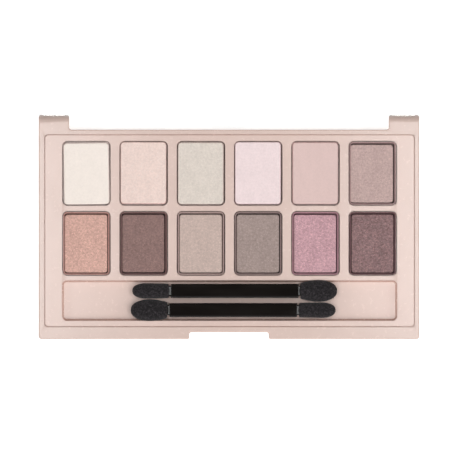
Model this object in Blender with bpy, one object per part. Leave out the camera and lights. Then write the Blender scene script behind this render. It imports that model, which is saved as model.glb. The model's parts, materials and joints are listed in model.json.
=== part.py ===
"""Eyeshadow palette: twelve pressed shades and two sponge applicators in a tray with a clear hinged lid.

Metres, +Z up. The origin is in the middle of the base's footprint, on its underside. +Y points to
the hinge and +X to the right. The lid stands open at a right angle.
"""

import math

import bmesh
import bpy
from mathutils import Matrix, Vector

MM = 0.001
GAP = 0.3 * MM  # clearance between neighbouring pieces
CORNER_STEPS = 4  # straight pieces in one rounded corner
PAST = 0.5 * MM  # how far a cutter reaches past the face that it opens

# Base shell
BASE_HALF_WIDTH = 63.5 * MM
BASE_FRONT = -37.4 * MM
BASE_REAR = 32.55 * MM
BASE_HEIGHT = 8.0 * MM
BASE_FLOOR = 1.2 * MM
BASE_CORNER = 1.0 * MM
FOOT_CHAMFER = 0.5 * MM
POCKET_HALF_WIDTH = 61.75 * MM
POCKET_FRONT = -33.3 * MM
POCKET_REAR = 30.9 * MM
POCKET_CORNER = 0.6 * MM

# Hinge ears and the thumb notch, both part of the shell
EAR_REAR = 37.4 * MM
EAR_INNER = 53.3 * MM
EAR_ROUND = 3.0 * MM
NOTCH_HALF_WIDTH = 13.2 * MM
NOTCH_BACK = -35.13 * MM
NOTCH_CORNER = 0.7 * MM
CATCH_HALF_WIDTH = 6.5 * MM
CATCH_DEPTH = 0.4 * MM
CATCH_BOTTOM = 4.6 * MM
CATCH_TOP = 5.9 * MM

# Hinge: trunnions on the lid's barrel turn in blind sockets in the ears
HINGE = Vector((0, 34.97 * MM, 6.3 * MM))
OPEN_ANGLE = math.radians(90)
TRUNNION_RADIUS = 1.1 * MM
TRUNNION_REACH = 3.5 * MM
SOCKET_RADIUS = TRUNNION_RADIUS + GAP
SOCKET_END = EAR_INNER + TRUNNION_REACH + GAP

# Deck insert
DECK_TOP = 7.7 * MM
DECK_PLATE = 1.2 * MM
DECK_CORNER = 1.2 * MM
DECK_SKIRT = 1.2 * MM
WELL_BLOCK_BOTTOM = 3.6 * MM
WELL_BLOCK_HALF_WIDTH = 57.2 * MM
COLUMNS = 6
COLUMN_PITCH = 19.1 * MM
ROWS = {"back": 17.94 * MM, "front": -5.43 * MM}
WELL_WIDTH = 16.14 * MM
WELL_DEPTH = 21.6 * MM
WELL_CORNER = 1.5 * MM
WELL_FLOOR = 4.5 * MM

# Trough for the applicators
TROUGH_HALF_WIDTH = 55.84 * MM
TROUGH_REAR = -17.78 * MM
TROUGH_FRONT = -31.19 * MM
TROUGH_CORNER = 1.4 * MM
TROUGH_FLOOR = 5.1 * MM
TROUGH_LIP = 0.35 * MM

# Pans and powder
PAN_WALL = 0.3 * MM
PAN_FLOOR = 0.4 * MM
PAN_TOP = 7.45 * MM
CAKE_TOP = 7.15 * MM
CAKE_EDGE = 0.25 * MM

# Applicators, which lie head to tail
APPLICATOR_HEIGHT = 7.8 * MM
REAR_APPLICATOR = (1.9 * MM, -21.26 * MM)
FRONT_APPLICATOR = (1.4 * MM, -27.7 * MM)
HANDLE_HALF_WIDTH = 2.375 * MM
HANDLE_HALF_HEIGHT = 2.2 * MM
HANDLE_SQUARENESS = 0.35  # 1 is an ellipse, and towards 0 is a rectangle
HANDLE_BEVEL = (0.5 * MM, 0.27 * MM)  # length and drop of the slope at each end
HANDLE_HALF_LENGTH = 21.3 * MM
COLLAR_RADIUS = 1.9 * MM
COLLAR_LENGTH = 0.45 * MM
CORE_RADIUS = 0.8 * MM
CORE_END = 30.0 * MM
TIP_START = HANDLE_HALF_LENGTH + COLLAR_LENGTH + GAP
TIP_LENGTH = 12.15 * MM
NARROW_TIP = (2.1 * MM, 2.5 * MM)  # half-widths of the neck and the belly
WIDE_TIP = (2.5 * MM, 3.45 * MM)
TIP_HALF_THICKNESS = 2.1 * MM
ROUND_STEPS = 24

# Lid, measured in its closed place
LID_TOP = 12.1 * MM
LID_PLATE = 1.5 * MM
LID_BOTTOM = BASE_HEIGHT + GAP
LID_REAR = BASE_REAR - GAP
LID_WALL = 1.6 * MM
LID_CORNER = 1.5 * MM
LID_CHAMFER = 0.4 * MM
BARREL_RADIUS = 2.1 * MM
BARREL_HALF_WIDTH = EAR_INNER - GAP
WEB_UNDERSIDE = 8.7 * MM
TONGUE_HALF_WIDTH = 6.0 * MM
TONGUE_BOTTOM = 4.3 * MM
TONGUE_THICKNESS = 1.4 * MM
TONGUE_GAP = 0.4 * MM
BEAD_RADIUS = 0.25 * MM

# Underside label in its recess
LABEL_HALF_WIDTH = 44.7 * MM
LABEL_FRONT = 7.3 * MM
LABEL_REAR = 28.7 * MM
LABEL_CORNER = 1.5 * MM
LABEL_BOTTOM = 0.05 * MM
LABEL_TOP = 0.2 * MM

# Colours, as sRGB
SHELL_PINK = "#E0C2BB"
DECK_PINK = "#E6CBC3"
PAN_METAL = "#8A7A76"
HANDLE_BLACK = "#1A1614"
FOAM_BLACK = "#302C2E"
CLEAR = "#F4F6F6"
LABEL_WHITE = "#EFEBE8"
SHADES = {
    # cream, peach, sage, pale pink, dusty rose, mauve taupe
    "back": ("#F8EEE2", "#F2D8CC", "#DED6C8", "#F2DEE4", "#E2C4C2", "#BCA0A0"),
    # rose copper, plum brown, beige, grey taupe, orchid, plum
    "front": ("#D8A898", "#8E706A", "#CAB6AA", "#A69A92", "#CA9CAA", "#866468"),
}


def clear_scene():
    """Remove every object, so that only the palette is left."""
    for obj in list(bpy.data.objects):
        bpy.data.objects.remove(obj, do_unlink=True)


def linear(hex_colour):
    """The linear RGB of an sRGB hex colour."""
    channels = [int(hex_colour[i : i + 2], 16) / 255 for i in (1, 3, 5)]
    return [c / 12.92 if c <= 0.04045 else ((c + 0.055) / 1.055) ** 2.4 for c in channels]


def material(name, hex_colour, roughness, metallic=0.0, alpha=1.0):
    """A Principled material with one colour."""
    mat = bpy.data.materials.new(name)
    mat.use_nodes = True
    shader = mat.node_tree.nodes["Principled BSDF"]
    shader.inputs["Base Color"].default_value = (*linear(hex_colour), 1)
    shader.inputs["Roughness"].default_value = roughness
    shader.inputs["Metallic"].default_value = metallic
    shader.inputs["Alpha"].default_value = alpha
    mat.diffuse_color = (*linear(hex_colour), alpha)
    return mat


def rounded_polygon(corners):
    """Points round a polygon, anticlockwise, whose corners are (x, y, radius)."""
    points = []
    for i, (x, y, radius) in enumerate(corners):
        here = Vector((x, y))
        back = (Vector(corners[i - 1][:2]) - here).normalized()
        ahead = (Vector(corners[(i + 1) % len(corners)][:2]) - here).normalized()
        if radius == 0:
            points.append(here)
            continue
        half = back.angle(ahead) / 2
        centre = here + (back + ahead).normalized() * radius / math.sin(half)
        start = here + back * radius / math.tan(half) - centre
        end = here + ahead * radius / math.tan(half) - centre
        sweep = start.angle_signed(end)
        for step in range(CORNER_STEPS + 1):
            spin = Matrix.Rotation(-sweep * step / CORNER_STEPS, 2)
            points.append(centre + spin @ start)
    return points


def rounded_rectangle(left, right, front, rear, radius):
    """Points round a rectangle with rounded corners, anticlockwise."""
    return rounded_polygon(
        [(left, front, radius), (right, front, radius), (right, rear, radius), (left, rear, radius)]
    )


def inset_rectangle(half_width, front, rear, radius, inset):
    """A rounded rectangle that is symmetric in X, with every side moved inwards."""
    return rounded_rectangle(
        inset - half_width, half_width - inset, front + inset, rear - inset, max(radius - inset, 0.1 * MM)
    )


def add_loft(bm, sections):
    """Add a closed skin through outlines of equal length, each given with its height."""
    rings = [[bm.verts.new((x, y, z)) for x, y in outline] for outline, z in sections]
    for lower, upper in zip(rings, rings[1:]):
        for i in range(len(lower)):
            j = (i + 1) % len(lower)
            bm.faces.new((lower[i], lower[j], upper[j], upper[i]))
    bm.faces.new(rings[0][::-1])
    bm.faces.new(rings[-1])


def add_extrusion_x(bm, profile, left, right):
    """Add a prism along X whose profile is (y, z) points, anticlockwise as seen from +X."""
    ends = [[bm.verts.new((x, y, z)) for y, z in profile] for x in (left, right)]
    for i in range(len(profile)):
        j = (i + 1) % len(profile)
        bm.faces.new((ends[0][i], ends[0][j], ends[1][j], ends[1][i]))
    bm.faces.new(ends[0][::-1])
    bm.faces.new(ends[1])


def add_box(bm, left, right, front, rear, bottom, top):
    """Add a box given by its sides."""
    add_loft(bm, [(rounded_rectangle(left, right, front, rear, 0), z) for z in (bottom, top)])


def arc(centre_y, centre_z, radius, start, end, steps):
    """(y, z) points along an arc, with its angles in degrees from +Y towards +Z."""
    angles = [math.radians(start + (end - start) * i / steps) for i in range(steps + 1)]
    return [(centre_y + radius * math.cos(a), centre_z + radius * math.sin(a)) for a in angles]


def circle(centre_y, centre_z, radius):
    """(y, z) points all the way round a circle."""
    return arc(centre_y, centre_z, radius, 0, 360 - 360 / ROUND_STEPS, ROUND_STEPS - 1)


def section_ring(bm, x, half_y, half_z, squareness):
    """Add one ring of vertices round the X axis, from an ellipse to nearly a rectangle."""
    ring = []
    for i in range(ROUND_STEPS):
        across = math.cos(math.tau * i / ROUND_STEPS)
        up = math.sin(math.tau * i / ROUND_STEPS)
        y = math.copysign(abs(across) ** squareness, across) * half_y
        z = math.copysign(abs(up) ** squareness, up) * half_z
        ring.append(bm.verts.new((x, y, z)))
    return ring


def add_turned(bm, profile):
    """Add a body along the X axis from (x, half-width, half-height, squareness), whose ends are points."""
    rings = []
    for x, half_y, half_z, squareness in profile:
        if half_y == 0:
            rings.append([bm.verts.new((x, 0, 0))])
        else:
            rings.append(section_ring(bm, x, half_y, half_z, squareness))
    for first, second in zip(rings, rings[1:]):
        for i in range(ROUND_STEPS):
            j = (i + 1) % ROUND_STEPS
            if len(first) == 1:
                bm.faces.new((first[0], second[i], second[j]))
            elif len(second) == 1:
                bm.faces.new((first[i], second[0], first[j]))
            else:
                bm.faces.new((first[i], second[i], second[j], first[j]))


def finish_mesh(bm, name, smooth=False):
    """Turn the bmesh into a mesh whose faces point outwards."""
    bmesh.ops.recalc_face_normals(bm, faces=bm.faces)
    mesh = bpy.data.meshes.new(name)
    bm.to_mesh(mesh)
    bm.free()
    if smooth:
        mesh.shade_smooth()
        mesh.set_sharp_from_angle(angle=math.radians(35))
    return mesh


def place(name, mesh, mat, location=(0, 0, 0), parent=None):
    """Put a mesh in the scene as a named object with its material."""
    obj = bpy.data.objects.new(name, mesh)
    obj.location = location
    obj.parent = parent
    if not mesh.materials:
        mesh.materials.append(mat)
    bpy.context.scene.collection.objects.link(obj)
    return obj


def combine(obj, operation, bm, name):
    """Cut the bmesh out of obj, or join it on, with a helper object that isn't part of the palette."""
    helper = bpy.data.objects.new(name, finish_mesh(bm, name))
    helper.parent = obj.parent
    helper.hide_render = True
    helper.display_type = "WIRE"
    bpy.context.scene.collection.objects.link(helper)
    modifier = obj.modifiers.new(name, "BOOLEAN")
    modifier.operation = operation
    modifier.object = helper


def base_outline(inset):
    """The shell's outline with its ears and its thumb notch, moved inwards by inset."""
    side = BASE_HALF_WIDTH - inset
    front = BASE_FRONT + inset
    rear = BASE_REAR - inset
    ear_rear = EAR_REAR - inset
    ear_inner = EAR_INNER + inset
    notch = NOTCH_HALF_WIDTH + inset
    notch_back = NOTCH_BACK + inset
    right_half = [
        (notch, notch_back, NOTCH_CORNER),
        (notch, front, NOTCH_CORNER),
        (side, front, BASE_CORNER),
        (side, ear_rear, BASE_CORNER),
        (ear_inner, ear_rear, BASE_CORNER),
        (ear_inner, rear, BASE_CORNER),
    ]
    left_half = [(-x, y, radius) for x, y, radius in reversed(right_half)]
    return rounded_polygon(right_half + left_half)


def make_base_shell(mat):
    """The outer tray, with a blind hinge socket in each ear, a catch groove and a label recess."""
    bm = bmesh.new()
    side = base_outline(0)
    add_loft(bm, [(base_outline(FOOT_CHAMFER), 0), (side, FOOT_CHAMFER), (side, BASE_HEIGHT)])
    shell = place("base_shell", finish_mesh(bm, "base_shell"), mat)

    bm = bmesh.new()
    pocket = inset_rectangle(POCKET_HALF_WIDTH, POCKET_FRONT, POCKET_REAR, POCKET_CORNER, 0)
    add_loft(bm, [(pocket, BASE_FLOOR), (pocket, BASE_HEIGHT + PAST)])
    recess = inset_rectangle(LABEL_HALF_WIDTH, LABEL_FRONT, LABEL_REAR, LABEL_CORNER, -GAP)
    add_loft(bm, [(recess, -PAST), (recess, LABEL_TOP + GAP)])
    catch_back = NOTCH_BACK + CATCH_DEPTH
    add_box(bm, -CATCH_HALF_WIDTH, CATCH_HALF_WIDTH, NOTCH_BACK - PAST, catch_back, CATCH_BOTTOM, CATCH_TOP)
    socket = circle(HINGE.y, HINGE.z, SOCKET_RADIUS)
    add_extrusion_x(bm, socket, EAR_INNER - PAST, SOCKET_END)
    add_extrusion_x(bm, socket, -SOCKET_END, PAST - EAR_INNER)
    combine(shell, "DIFFERENCE", bm, "shell_hollows")

    bm = bmesh.new()
    round_y = EAR_REAR - EAR_ROUND
    round_z = BASE_HEIGHT - EAR_ROUND
    outside = [
        (EAR_REAR, round_z),
        (EAR_REAR + PAST, round_z),
        (EAR_REAR + PAST, BASE_HEIGHT + PAST),
        (round_y, BASE_HEIGHT + PAST),
    ]
    rounding = arc(round_y, round_z, EAR_ROUND, 90, 0, 2 * CORNER_STEPS)[:-1]
    add_extrusion_x(bm, outside + rounding, -BASE_HALF_WIDTH - PAST, BASE_HALF_WIDTH + PAST)
    combine(shell, "DIFFERENCE", bm, "ear_rounding")


def column_x(column):
    """The middle of a column of pans, counted from 0 at the left."""
    return (column - (COLUMNS - 1) / 2) * COLUMN_PITCH


def trough_outline(offset):
    """The trough's outline, moved outwards by offset."""
    return inset_rectangle(TROUGH_HALF_WIDTH, TROUGH_FRONT, TROUGH_REAR, TROUGH_CORNER, -offset)


def make_deck_insert(mat):
    """The deck that holds the pans and the applicators, hollow underneath."""
    half_width = POCKET_HALF_WIDTH - GAP
    front = POCKET_FRONT + GAP
    rear = POCKET_REAR - GAP
    bottom = BASE_FLOOR + GAP
    outline = inset_rectangle(half_width, front, rear, DECK_CORNER, 0)
    bm = bmesh.new()
    add_loft(bm, [(outline, bottom), (outline, DECK_TOP)])
    deck = place("deck_insert", finish_mesh(bm, "deck_insert"), mat)

    bm = bmesh.new()
    under = inset_rectangle(half_width, front, rear, DECK_CORNER, DECK_SKIRT)
    add_loft(bm, [(under, bottom - PAST), (under, WELL_BLOCK_BOTTOM)])
    combine(deck, "DIFFERENCE", bm, "deck_hollow")

    bm = bmesh.new()
    inner_side = half_width - DECK_SKIRT
    channel_top = DECK_TOP - DECK_PLATE
    for left, right in ((-inner_side, -WELL_BLOCK_HALF_WIDTH), (WELL_BLOCK_HALF_WIDTH, inner_side)):
        add_box(bm, left, right, front + DECK_SKIRT, rear - DECK_SKIRT, bottom, channel_top)
    combine(deck, "DIFFERENCE", bm, "deck_side_channels")

    bm = bmesh.new()
    for column in range(COLUMNS):
        for row_y in ROWS.values():
            left = column_x(column) - WELL_WIDTH / 2
            front_y = row_y - WELL_DEPTH / 2
            well = rounded_rectangle(left, left + WELL_WIDTH, front_y, front_y + WELL_DEPTH, WELL_CORNER)
            add_loft(bm, [(well, WELL_FLOOR), (well, DECK_TOP + PAST)])
    lip_bottom = DECK_TOP - TROUGH_LIP
    flare = TROUGH_LIP + PAST
    add_loft(
        bm,
        [
            (trough_outline(0), TROUGH_FLOOR),
            (trough_outline(0), lip_bottom),
            (trough_outline(flare), lip_bottom + flare),
        ],
    )
    combine(deck, "DIFFERENCE", bm, "wells_and_trough")


def pan_section(shrink):
    """A pan-shaped outline round the origin, smaller than its well by shrink on every side."""
    return inset_rectangle(WELL_WIDTH / 2, -WELL_DEPTH / 2, WELL_DEPTH / 2, WELL_CORNER, shrink)


def make_pans_and_cakes(pan_material):
    """Twelve drawn trays, each with a pressed cake of powder in it."""
    outer = pan_section(GAP)
    inner = pan_section(GAP + PAN_WALL)
    bottom = WELL_FLOOR + GAP
    bm = bmesh.new()
    add_loft(bm, [(outer, bottom), (outer, PAN_TOP), (inner, PAN_TOP), (inner, bottom + PAN_FLOOR)])
    pan_mesh = finish_mesh(bm, "pan")
    cake = pan_section(GAP + PAN_WALL + GAP)
    cake_top = pan_section(GAP + PAN_WALL + GAP + CAKE_EDGE)
    cake_bottom = bottom + PAN_FLOOR + GAP
    for row, row_y in ROWS.items():
        for column in range(COLUMNS):
            at = (column_x(column), row_y, 0)
            label = f"{row}_{column + 1}"
            place(f"pan_{label}", pan_mesh, pan_material, at)
            bm = bmesh.new()
            add_loft(bm, [(cake, cake_bottom), (cake, CAKE_TOP - CAKE_EDGE), (cake_top, CAKE_TOP)])
            powder = material(f"powder_{label}", SHADES[row][column], 0.85)
            place(f"eyeshadow_{label}", finish_mesh(bm, f"eyeshadow_{label}"), powder, at)


def make_handle_mesh():
    """A flat-topped handle along X with a bevel, a round collar and a thin core at each end."""
    length, drop = HANDLE_BEVEL
    collar_end = HANDLE_HALF_LENGTH + COLLAR_LENGTH
    half_width, half_height = HANDLE_HALF_WIDTH, HANDLE_HALF_HEIGHT
    right_end = [
        (HANDLE_HALF_LENGTH - length, half_width, half_height, HANDLE_SQUARENESS),
        (HANDLE_HALF_LENGTH, half_width - drop, half_height - drop, HANDLE_SQUARENESS),
        (HANDLE_HALF_LENGTH, COLLAR_RADIUS, COLLAR_RADIUS, 1),
        (collar_end, COLLAR_RADIUS, COLLAR_RADIUS, 1),
        (collar_end, CORE_RADIUS, CORE_RADIUS, 1),
        (CORE_END, CORE_RADIUS, CORE_RADIUS, 1),
        (CORE_END, 0, 0, 1),
    ]
    left_end = [(-x, *section) for x, *section in reversed(right_end)]
    bm = bmesh.new()
    add_turned(bm, left_end + right_end)
    return finish_mesh(bm, "applicator_handle", smooth=True)


def make_tip_mesh(name, neck, belly):
    """A foam tip that points to +X from x = 0, with a blind bore for the handle's core."""
    bore_end = CORE_END + GAP - TIP_START
    bore_radius = CORE_RADIUS + GAP
    swell_end = TIP_LENGTH / 2
    round_length = TIP_LENGTH - swell_end
    flatness = TIP_HALF_THICKNESS / belly
    steps = 6
    profile = [(bore_end, 0, 0, 1), (bore_end, bore_radius, bore_radius, 1), (0, bore_radius, bore_radius, 1)]
    for step in range(steps + 1):
        turn = step / steps
        half_width = neck + (belly - neck) * math.sin(turn * math.pi / 2)
        thickness = half_width * (1 + (flatness - 1) * turn) if belly > TIP_HALF_THICKNESS else half_width
        profile.append((swell_end * turn, half_width, min(thickness, TIP_HALF_THICKNESS), 1))
    for step in range(1, steps + 1):
        turn = step / steps * math.pi / 2
        half_width = belly * math.cos(turn) if step < steps else 0
        x = swell_end + round_length * math.sin(turn)
        profile.append((x, half_width, half_width * flatness, 1))
    bm = bmesh.new()
    add_turned(bm, profile)
    return finish_mesh(bm, name, smooth=True)


def make_applicators(handle_material, foam_material):
    """Two applicators, each with its narrow tip at one end and its wide tip at the other."""
    handle_mesh = make_handle_mesh()
    tips = {
        "narrow_tip": (make_tip_mesh("narrow_tip", *NARROW_TIP), -1),
        "wide_tip": (make_tip_mesh("wide_tip", *WIDE_TIP), 1),
    }
    for which, (x, y), facing in (("rear", REAR_APPLICATOR, 1), ("front", FRONT_APPLICATOR, -1)):
        place(f"applicator_{which}_handle", handle_mesh, handle_material, (x, y, APPLICATOR_HEIGHT))
        for tip_name, (tip_mesh, end) in tips.items():
            direction = end * facing
            at = (x + direction * TIP_START, y, APPLICATOR_HEIGHT)
            tip = place(f"applicator_{which}_{tip_name}", tip_mesh, foam_material, at)
            tip.rotation_euler.z = 0 if direction > 0 else math.pi


def about_hinge(bm):
    """Move a shape of the closed lid so that its origin is on the hinge axis."""
    bmesh.ops.translate(bm, verts=bm.verts, vec=-HINGE)


def lid_section(inset):
    """The lid's outline, moved inwards by inset."""
    return inset_rectangle(BASE_HALF_WIDTH, BASE_FRONT, LID_REAR, LID_CORNER, inset)


def add_hinge_web(bm):
    """Add the web that comes down behind the base and the barrel between the ears."""
    barrel = arc(HINGE.y, HINGE.z, BARREL_RADIUS, 150, 405, 20)
    inside_wall = LID_REAR - LID_WALL / 2
    web = [
        (LID_REAR + GAP, LID_TOP - LID_CHAMFER),
        (inside_wall, LID_TOP - LID_CHAMFER),
        (inside_wall, WEB_UNDERSIDE),
        (LID_REAR + GAP, WEB_UNDERSIDE),
    ]
    add_extrusion_x(bm, web + barrel, -BARREL_HALF_WIDTH, BARREL_HALF_WIDTH)


def add_trunnions(bm):
    """Add the round stub at each end of the barrel."""
    trunnion = circle(HINGE.y, HINGE.z, TRUNNION_RADIUS)
    root = BARREL_HALF_WIDTH - PAST
    end = EAR_INNER + TRUNNION_REACH
    add_extrusion_x(bm, trunnion, root, end)
    add_extrusion_x(bm, trunnion, -end, -root)


def add_latch_tongue(bm):
    """Add the tongue that hangs in the thumb notch, with the bead that snaps into the catch groove."""
    inner = NOTCH_BACK - TONGUE_GAP
    outer = inner - TONGUE_THICKNESS
    bead_z = (CATCH_BOTTOM + CATCH_TOP) / 2
    top = LID_TOP - LID_PLATE / 2
    bead = arc(inner, bead_z, BEAD_RADIUS, -90, 90, 6)
    outline = [(outer, TONGUE_BOTTOM), (inner, TONGUE_BOTTOM)] + bead + [(inner, top), (outer, top)]
    add_extrusion_x(bm, outline, -TONGUE_HALF_WIDTH, TONGUE_HALF_WIDTH)


def make_lid(mat):
    """The clear lid, made closed and then turned open about the hinge."""
    hinge = bpy.data.objects.new("lid_hinge", None)
    hinge.location = HINGE
    hinge.rotation_euler.x = -OPEN_ANGLE
    bpy.context.scene.collection.objects.link(hinge)

    ceiling = LID_TOP - LID_PLATE
    bm = bmesh.new()
    add_loft(
        bm,
        [
            (lid_section(LID_WALL), ceiling),
            (lid_section(LID_WALL), LID_BOTTOM),
            (lid_section(0), LID_BOTTOM),
            (lid_section(0), LID_TOP - LID_CHAMFER),
            (lid_section(LID_CHAMFER), LID_TOP),
        ],
    )
    about_hinge(bm)
    lid = place("lid", finish_mesh(bm, "lid"), mat, parent=hinge)
    for name, add_shape in (
        ("hinge_web", add_hinge_web),
        ("hinge_trunnions", add_trunnions),
        ("latch_tongue", add_latch_tongue),
    ):
        bm = bmesh.new()
        add_shape(bm)
        about_hinge(bm)
        combine(lid, "UNION", bm, name)


def make_label(mat):
    """The paper label in the recess of the underside."""
    outline = inset_rectangle(LABEL_HALF_WIDTH, LABEL_FRONT, LABEL_REAR, LABEL_CORNER, 0)
    bm = bmesh.new()
    add_loft(bm, [(outline, LABEL_BOTTOM), (outline, LABEL_TOP)])
    place("underside_label", finish_mesh(bm, "underside_label"), mat)


def build():
    """Make the whole palette."""
    clear_scene()
    make_base_shell(material("shell_plastic", SHELL_PINK, 0.4))
    make_deck_insert(material("deck_plastic", DECK_PINK, 0.4))
    make_pans_and_cakes(material("pan_metal", PAN_METAL, 0.35, metallic=1.0))
    make_applicators(material("handle_plastic", HANDLE_BLACK, 0.15), material("foam", FOAM_BLACK, 0.95))
    make_lid(material("clear_plastic", CLEAR, 0.08, alpha=0.3))
    make_label(material("label_paper", LABEL_WHITE, 0.8))


build()
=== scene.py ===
"""The looks of the eyeshadow palette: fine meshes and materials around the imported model.

Metres, +Z up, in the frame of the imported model. The base lies flat, and the clear lid stands open.
"""

import json
import math
from collections import namedtuple

import bmesh
import bpy
from mathutils import Matrix, Vector, noise


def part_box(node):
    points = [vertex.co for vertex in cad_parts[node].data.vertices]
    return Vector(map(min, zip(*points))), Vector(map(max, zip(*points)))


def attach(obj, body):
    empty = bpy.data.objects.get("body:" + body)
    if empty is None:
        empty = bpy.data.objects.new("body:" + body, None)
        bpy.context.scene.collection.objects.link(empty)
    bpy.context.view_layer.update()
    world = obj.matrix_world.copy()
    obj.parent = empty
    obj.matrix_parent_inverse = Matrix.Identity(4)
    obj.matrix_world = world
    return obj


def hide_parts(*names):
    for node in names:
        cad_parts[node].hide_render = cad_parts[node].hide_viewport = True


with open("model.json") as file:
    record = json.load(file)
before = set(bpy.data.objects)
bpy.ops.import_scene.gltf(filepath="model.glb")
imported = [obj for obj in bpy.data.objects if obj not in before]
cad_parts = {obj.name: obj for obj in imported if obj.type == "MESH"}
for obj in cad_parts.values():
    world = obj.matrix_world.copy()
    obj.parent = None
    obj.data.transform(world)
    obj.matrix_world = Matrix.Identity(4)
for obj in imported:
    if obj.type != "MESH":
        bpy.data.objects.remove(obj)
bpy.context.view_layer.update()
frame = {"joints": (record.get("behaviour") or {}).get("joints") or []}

MM = 0.001
CORNER_STEPS = 10  # straight pieces in one rounded corner
ROUND_STEPS = 72  # straight pieces round a turned piece
EDGE_STEPS = 5  # straight pieces across a rounded edge
SMALLEST_CORNER = 0.05 * MM  # an outline's corners stay at least this round
PAST = 0.5 * MM  # how far a cutter reaches past the face that it opens

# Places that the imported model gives
BASE_LOW, BASE_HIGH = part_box("base_shell")
DECK_LOW, DECK_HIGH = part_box("deck_insert")
LABEL_LOW, LABEL_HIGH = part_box("underside_label")
HINGE = Vector(next(j["pos_m"] for j in frame["joints"] if j["name"] == "lid_hinge"))
SHELL_SEAM = 0.3 * MM  # between the shell's pocket and the deck
INNER_SHIFT = Vector((0.2 * MM, 0, 0))  # the pocket and all that it holds sit a little right of centre

# Base shell
BASE_REAR = 32.55 * MM
BASE_FLOOR = 1.2 * MM
BASE_CORNER = 1.0 * MM
FOOT_ROUND = 0.5 * MM
RIM_ROUND = 0.4 * MM
POCKET_CORNER = 0.9 * MM
POCKET_ROUND = 0.15 * MM
EAR_INNER = 53.3 * MM
EAR_ROUND = 2.6 * MM
EAR_CORNER = 0.8 * MM
NOTCH_HALF_WIDTH = 13.2 * MM
NOTCH_BACK = -35.13 * MM
NOTCH_CORNER = 0.6 * MM
SOCKET_RADIUS = 1.4 * MM
SOCKET_DEPTH = 3.8 * MM
CATCH_HALF_WIDTH = 6.5 * MM
CATCH_DEPTH = 0.4 * MM
CATCH_BOTTOM = 4.6 * MM
CATCH_TOP = 5.9 * MM
LABEL_CORNER = 1.5 * MM
LABEL_EDGE = 0.05 * MM
LABEL_RECESS = 0.5 * MM

# Deck, wells and trough
DECK_CORNER = 1.0 * MM
DECK_ROUND = 0.12 * MM
SEAM_WIDTH = 0.2 * MM  # what shows of the seam
SEAM_DEPTH = 0.45 * MM  # down to the step that almost closes it
SEAM_BELOW = 0.03 * MM  # what is left of it below that step
WELL_CORNER = 1.55 * MM
WELL_GAP = 0.3 * MM  # between a pan and its well
WELL_LIP = 0.1 * MM
WELL_FLOOR = 4.5 * MM
TROUGH_HALF_WIDTH = 55.84 * MM
TROUGH_REAR = -17.78 * MM
TROUGH_FRONT = -31.19 * MM
TROUGH_CORNER = 1.5 * MM
TROUGH_FLOOR = 5.1 * MM
TROUGH_LIP = 0.2 * MM
TROUGH_DRAFT = 0.55 * MM  # how far the walls lean in on their way down
TROUGH_FILLET = 0.15 * MM

# Pans and powder; a cake is full when its powder covers the pan's rim
FULL_GAP = 0.5  # a full cake's gaps are all smaller than this, in millimetres
FULL_RIM_DROP = 0.6 * MM  # how far a full cake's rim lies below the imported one
RIM_DROP = 0.15 * MM  # and how far any other rim does
FULL_CAKE_RISE = 0.32 * MM  # how far a full cake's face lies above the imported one
CAKE_SINK = 0.1 * MM  # and how far any other cake's face lies below it
CAKE_STEP = 0.22 * MM  # between the points along a cake's edge
# From the foot of the cake's side to its middle: (inset, drop) in millimetres
CAKE_SIDE = [(0.0, 0.9), (0.0, 0.22), (0.05, 0.1), (0.14, 0.03)]
CAKE_FACE = [(0.3, 0.0), (0.6, 0.0), (1.2, -0.01), (2.4, -0.02), (4.4, -0.03), (6.2, -0.03)]
UNEVEN_DEPTH = 0.5  # the cake's unevenness reaches this far down its side, in millimetres
CRUMBLE_REACH = 0.4  # and its crumbling this far in from its edge
CRUMBLE_DEPTH = 0.16  # how deep the most crumbly edge breaks away, in millimetres
CAKE_NOISE_STEP = 7.3  # from one cake's noise to the next one's

# Applicators
HANDLE_HALF_WIDTH = 2.36 * MM
HANDLE_HALF_HEIGHT = 2.18 * MM
HANDLE_CORNER = 0.45 * MM
HANDLE_HALF_LENGTH = 21.3 * MM
HANDLE_END_ROUND = 0.12 * MM
COLLAR_AT_HANDLE = (1.75 * MM, 2.1 * MM)  # half-width and half-height
COLLAR_AT_FOAM = (1.65 * MM, 1.78 * MM)
COLLAR_LENGTH = 0.62 * MM
TIP_START = 22.05 * MM  # from the handle's middle to the foam
TIP_LENGTH = 12.12 * MM
TIP_HALF_THICKNESS = 2.1 * MM
TIP_OVERLAP = 0.12 * MM  # how far the foam reaches back over the collar
TIP_EDGE = 0.1 * MM  # how far along it reaches its neck's full width
TIP_STEPS = 18  # sections up to the belly, and again from there to the end
TIP_FLATTENING = 1.3  # above 1, it is at its flattest before the belly
TIP_BLUNTNESS = 0.84  # below 1, its end is blunter than an ellipse
# Each tip: half-widths of its neck and its belly, and how far along its length the belly is
TIPS = {"narrow": (2.42 * MM, 2.56 * MM, 0.64), "wide": (2.7 * MM, 3.62 * MM, 0.48)}

# Lid, measured in its closed place
LID_TOP = 12.1 * MM
LID_PLATE = 1.5 * MM
LID_BOTTOM = 8.3 * MM
LID_REAR = 32.25 * MM
LID_WALL = 1.6 * MM
LID_CORNER = 1.5 * MM
LID_ROUND = 0.5 * MM
LID_EDGE = 0.15 * MM
LID_FILLET = 0.4 * MM
BARREL_RADIUS = 2.1 * MM
BARREL_ARC = (150, 405)  # degrees, all but the top, where the web joins it
BARREL_HALF_WIDTH = 53.0 * MM
TRUNNION_RADIUS = 1.1 * MM
TRUNNION_END = 56.8 * MM
WEB_UNDERSIDE = 8.7 * MM
WEB_STEP = 0.3 * MM  # how far the web stands out behind the skirt
TONGUE_HALF_WIDTH = 6.0 * MM
TONGUE_BOTTOM = 4.3 * MM
TONGUE_THICKNESS = 1.4 * MM
TONGUE_GAP = 0.4 * MM
BEAD_RADIUS = 0.25 * MM

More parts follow.
